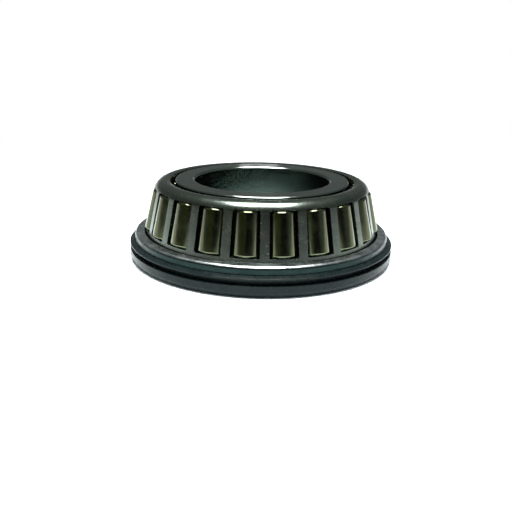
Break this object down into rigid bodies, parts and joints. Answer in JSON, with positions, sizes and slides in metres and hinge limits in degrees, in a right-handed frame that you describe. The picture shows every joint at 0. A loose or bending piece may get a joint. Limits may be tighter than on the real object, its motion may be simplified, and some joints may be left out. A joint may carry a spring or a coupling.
{
  "type": "tapered roller bearing cone assembly",
  "caption": "Sealed cone assembly of a tapered roller bearing: ribbed inner ring, tapered rollers in a stamped window cage, and a face seal with two rims on the large end.",
  "frame": {"origin": "centre of the inner ring's back face, which is the face it stands on", "axes": "+Z along the bearing axis from the large end to the small end of the rollers, -Y towards the viewer"},
  "size_m": [0.079, 0.079, 0.023],
  "materials": {
    "ground_steel": "ground, light oil film",
    "roller_steel": "superfinished, oiled",
    "cage_steel": "stamped sheet, tumbled, oiled",
    "case_steel": "stamped sheet, oiled",
    "seal_rubber": "moulded, satin"
  },
  "bodies": {
    "inner_ring_and_seal": {"inner_ring": "ground_steel", "seal_case": "case_steel", "seal_ring": "seal_rubber"},
    "cage": {"cage": "cage_steel"},
    "roller_01": {"roller_01": "roller_steel"},
    "roller_02": {"roller_02": "roller_steel"},
    "roller_03": {"roller_03": "roller_steel"},
    "roller_04": {"roller_04": "roller_steel"},
    "roller_05": {"roller_05": "roller_steel"},
    "roller_06": {"roller_06": "roller_steel"},
    "roller_07": {"roller_07": "roller_steel"},
    "roller_08": {"roller_08": "roller_steel"},
    "roller_09": {"roller_09": "roller_steel"},
    "roller_10": {"roller_10": "roller_steel"},
    "roller_11": {"roller_11": "roller_steel"},
    "roller_12": {"roller_12": "roller_steel"},
    "roller_13": {"roller_13": "roller_steel"},
    "roller_14": {"roller_14": "roller_steel"},
    "roller_15": {"roller_15": "roller_steel"},
    "roller_16": {"roller_16": "roller_steel"},
    "roller_17": {"roller_17": "roller_steel"},
    "roller_18": {"roller_18": "roller_steel"},
    "roller_19": {"roller_19": "roller_steel"},
    "roller_20": {"roller_20": "roller_steel"},
    "roller_21": {"roller_21": "roller_steel"}
  },
  "joints": [
    {"name": "cage_spin", "type": "hinge", "parent": "inner_ring_and_seal", "child": "cage", "pos_m": [0, 0, 0], "axis": [0, 0, 1], "continuous": true},
    {"name": "roller_01_spin", "type": "hinge", "parent": "cage", "child": "roller_01", "pos_m": [0.00538, -0.02936, 0.0142], "axis": [-0.0387, 0.2113, 0.9767], "continuous": true},
    {"name": "roller_02_spin", "type": "hinge", "parent": "cage", "child": "roller_02", "pos_m": [0.01379, -0.02647, 0.0142], "axis": [-0.0993, 0.1905, 0.9767], "continuous": true},
    {"name": "roller_03_spin", "type": "hinge", "parent": "cage", "child": "roller_03", "pos_m": [0.02098, -0.02123, 0.0142], "axis": [-0.151, 0.1528, 0.9767], "continuous": true},
    {"name": "roller_04_spin", "type": "hinge", "parent": "cage", "child": "roller_04", "pos_m": [0.02631, -0.0141, 0.0142], "axis": [-0.1893, 0.1015, 0.9767], "continuous": true},
    {"name": "roller_05_spin", "type": "hinge", "parent": "cage", "child": "roller_05", "pos_m": [0.0293, -0.00572, 0.0142], "axis": [-0.2108, 0.0412, 0.9767], "continuous": true},
    {"name": "roller_06_spin", "type": "hinge", "parent": "cage", "child": "roller_06", "pos_m": [0.02968, 0.00317, 0.0142], "axis": [-0.2136, -0.0228, 0.9767], "continuous": true},
    {"name": "roller_07_spin", "type": "hinge", "parent": "cage", "child": "roller_07", "pos_m": [0.02743, 0.01178, 0.0142], "axis": [-0.1974, -0.0848, 0.9767], "continuous": true},
    {"name": "roller_08_spin", "type": "hinge", "parent": "cage", "child": "roller_08", "pos_m": [0.02274, 0.01934, 0.0142], "axis": [-0.1636, -0.1392, 0.9767], "continuous": true},
    {"name": "roller_09_spin", "type": "hinge", "parent": "cage", "child": "roller_09", "pos_m": [0.01603, 0.02518, 0.0142], "axis": [-0.1153, -0.1812, 0.9767], "continuous": true},
    {"name": "roller_10_spin", "type": "hinge", "parent": "cage", "child": "roller_10", "pos_m": [0.00789, 0.02879, 0.0142], "axis": [-0.0568, -0.2072, 0.9767], "continuous": true},
    {"name": "roller_11_spin", "type": "hinge", "parent": "cage", "child": "roller_11", "pos_m": [-0.00094, 0.02984, 0.0142], "axis": [0.0068, -0.2147, 0.9767], "continuous": true},
    {"name": "roller_12_spin", "type": "hinge", "parent": "cage", "child": "roller_12", "pos_m": [-0.00969, 0.02823, 0.0142], "axis": [0.0698, -0.2032, 0.9767], "continuous": true},
    {"name": "roller_13_spin", "type": "hinge", "parent": "cage", "child": "roller_13", "pos_m": [-0.01759, 0.02412, 0.0142], "axis": [0.1266, -0.1736, 0.9767], "continuous": true},
    {"name": "roller_14_spin", "type": "hinge", "parent": "cage", "child": "roller_14", "pos_m": [-0.02391, 0.01787, 0.0142], "axis": [0.1721, -0.1286, 0.9767], "continuous": true},
    {"name": "roller_15_spin", "type": "hinge", "parent": "cage", "child": "roller_15", "pos_m": [-0.02812, 0.01002, 0.0142], "axis": [0.2023, -0.0721, 0.9767], "continuous": true},
    {"name": "roller_16_spin", "type": "hinge", "parent": "cage", "child": "roller_16", "pos_m": [-0.02982, 0.00129, 0.0142], "axis": [0.2146, -0.0093, 0.9767], "continuous": true},
    {"name": "roller_17_spin", "type": "hinge", "parent": "cage", "child": "roller_17", "pos_m": [-0.02888, -0.00756, 0.0142], "axis": [0.2078, 0.0544, 0.9767], "continuous": true},
    {"name": "roller_18_spin", "type": "hinge", "parent": "cage", "child": "roller_18", "pos_m": [-0.02537, -0.01573, 0.0142], "axis": [0.1826, 0.1132, 0.9767], "continuous": true},
    {"name": "roller_19_spin", "type": "hinge", "parent": "cage", "child": "roller_19", "pos_m": [-0.0196, -0.02251, 0.0142], "axis": [0.1411, 0.162, 0.9767], "continuous": true},
    {"name": "roller_20_spin", "type": "hinge", "parent": "cage", "child": "roller_20", "pos_m": [-0.0121, -0.02729, 0.0142], "axis": [0.0871, 0.1964, 0.9767], "continuous": true},
    {"name": "roller_21_spin", "type": "hinge", "parent": "cage", "child": "roller_21", "pos_m": [-0.00352, -0.02964, 0.0142], "axis": [0.0253, 0.2133, 0.9767], "continuous": true}
  ],
  "couplings": [
    {"joint": "roller_01_spin", "follows": "cage_spin", "ratio": 6.5487},
    {"joint": "roller_02_spin", "follows": "cage_spin", "ratio": 6.5487},
    {"joint": "roller_03_spin", "follows": "cage_spin", "ratio": 6.5487},
    {"joint": "roller_04_spin", "follows": "cage_spin", "ratio": 6.5487},
    {"joint": "roller_05_spin", "follows": "cage_spin", "ratio": 6.5487},
    {"joint": "roller_06_spin", "follows": "cage_spin", "ratio": 6.5487},
    {"joint": "roller_07_spin", "follows": "cage_spin", "ratio": 6.5487},
    {"joint": "roller_08_spin", "follows": "cage_spin", "ratio": 6.5487},
    {"joint": "roller_09_spin", "follows": "cage_spin", "ratio": 6.5487},
    {"joint": "roller_10_spin", "follows": "cage_spin", "ratio": 6.5487},
    {"joint": "roller_11_spin", "follows": "cage_spin", "ratio": 6.5487},
    {"joint": "roller_12_spin", "follows": "cage_spin", "ratio": 6.5487},
    {"joint": "roller_13_spin", "follows": "cage_spin", "ratio": 6.5487},
    {"joint": "roller_14_spin", "follows": "cage_spin", "ratio": 6.5487},
    {"joint": "roller_15_spin", "follows": "cage_spin", "ratio": 6.5487},
    {"joint": "roller_16_spin", "follows": "cage_spin", "ratio": 6.5487},
    {"joint": "roller_17_spin", "follows": "cage_spin", "ratio": 6.5487},
    {"joint": "roller_18_spin", "follows": "cage_spin", "ratio": 6.5487},
    {"joint": "roller_19_spin", "follows": "cage_spin", "ratio": 6.5487},
    {"joint": "roller_20_spin", "follows": "cage_spin", "ratio": 6.5487},
    {"joint": "roller_21_spin", "follows": "cage_spin", "ratio": 6.5487}
  ]
}
